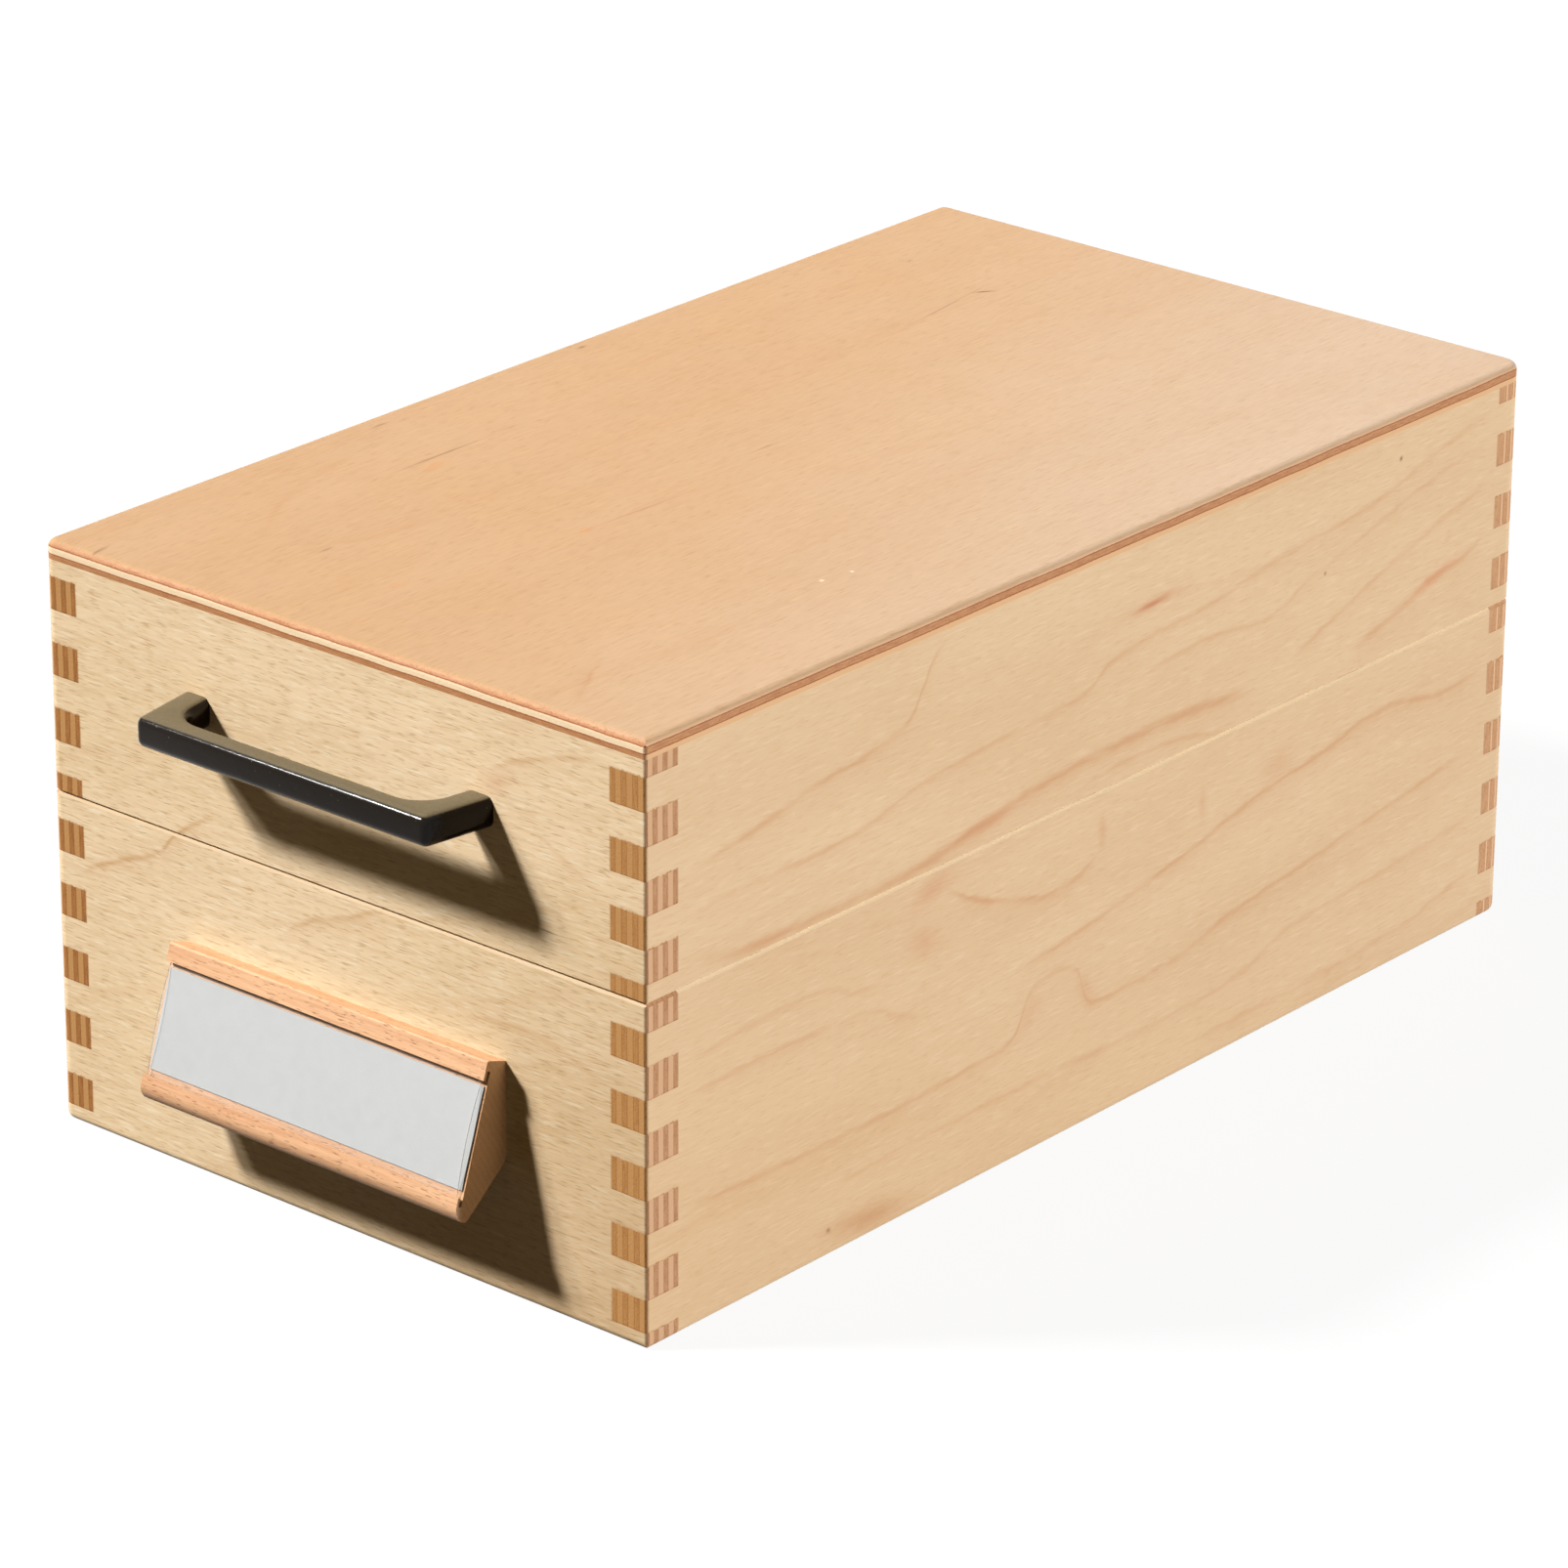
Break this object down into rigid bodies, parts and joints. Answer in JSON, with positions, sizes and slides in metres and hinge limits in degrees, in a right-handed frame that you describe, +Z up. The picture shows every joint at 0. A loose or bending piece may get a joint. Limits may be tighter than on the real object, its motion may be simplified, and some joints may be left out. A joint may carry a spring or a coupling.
{
  "type": "index card box",
  "caption": "Finger-jointed plywood card box with a hinged lid, a bow handle, a slanted label holder and a sliding steel card support.",
  "frame": {"origin": "middle of the underside of the bottom panel, which the box rests on", "axes": "+X to the right seen from the front, +Y from the front to the back, +Z up"},
  "size_m": [0.125, 0.2366, 0.099],
  "materials": {
    "birch_plywood": "clear satin lacquer",
    "beech": "clear satin lacquer",
    "black_gloss": "gloss",
    "plated_steel": "nickel plated",
    "grey_painted_steel": "satin enamel",
    "white_plastic": "matt",
    "aluminium": "plain",
    "paper": "smooth, unprinted",
    "clear_film": "clear gloss"
  },
  "bodies": {
    "base": {"base_front_board": "birch_plywood", "base_back_board": "birch_plywood", "base_left_board": "birch_plywood", "base_right_board": "birch_plywood", "base_bottom_panel": "birch_plywood", "label_holder": "beech", "left_hinge_base_leaf": "plated_steel", "right_hinge_base_leaf": "plated_steel", "left_hinge_pin": "plated_steel", "right_hinge_pin": "plated_steel", "base_hinge_screws": "plated_steel"},
    "lid": {"lid_front_board": "birch_plywood", "lid_back_board": "birch_plywood", "lid_left_board": "birch_plywood", "lid_right_board": "birch_plywood", "lid_top_panel": "birch_plywood", "handle": "black_gloss", "handle_screws": "plated_steel", "left_hinge_lid_leaf": "plated_steel", "right_hinge_lid_leaf": "plated_steel", "lid_hinge_screws": "plated_steel"},
    "card_support": {"support_plate": "grey_painted_steel", "left_runner": "white_plastic", "right_runner": "white_plastic", "runner_rivets": "aluminium"},
    "label": {"paper_label": "paper", "label_film": "clear_film"}
  },
  "joints": [
    {"name": "lid_hinge", "type": "hinge", "parent": "base", "child": "lid", "pos_m": [0, 0.1121, 0.057], "axis": [-1, 0, 0], "range_deg": [0, 180]},
    {"name": "support_slide", "type": "slide", "parent": "base", "child": "card_support", "axis": [0, -1, 0], "range_m": [0, 0.18]},
    {"name": "label_slide", "type": "slide", "parent": "base", "child": "label", "axis": [1, 0, 0], "range_m": [-0.06, 0.06]}
  ]
}
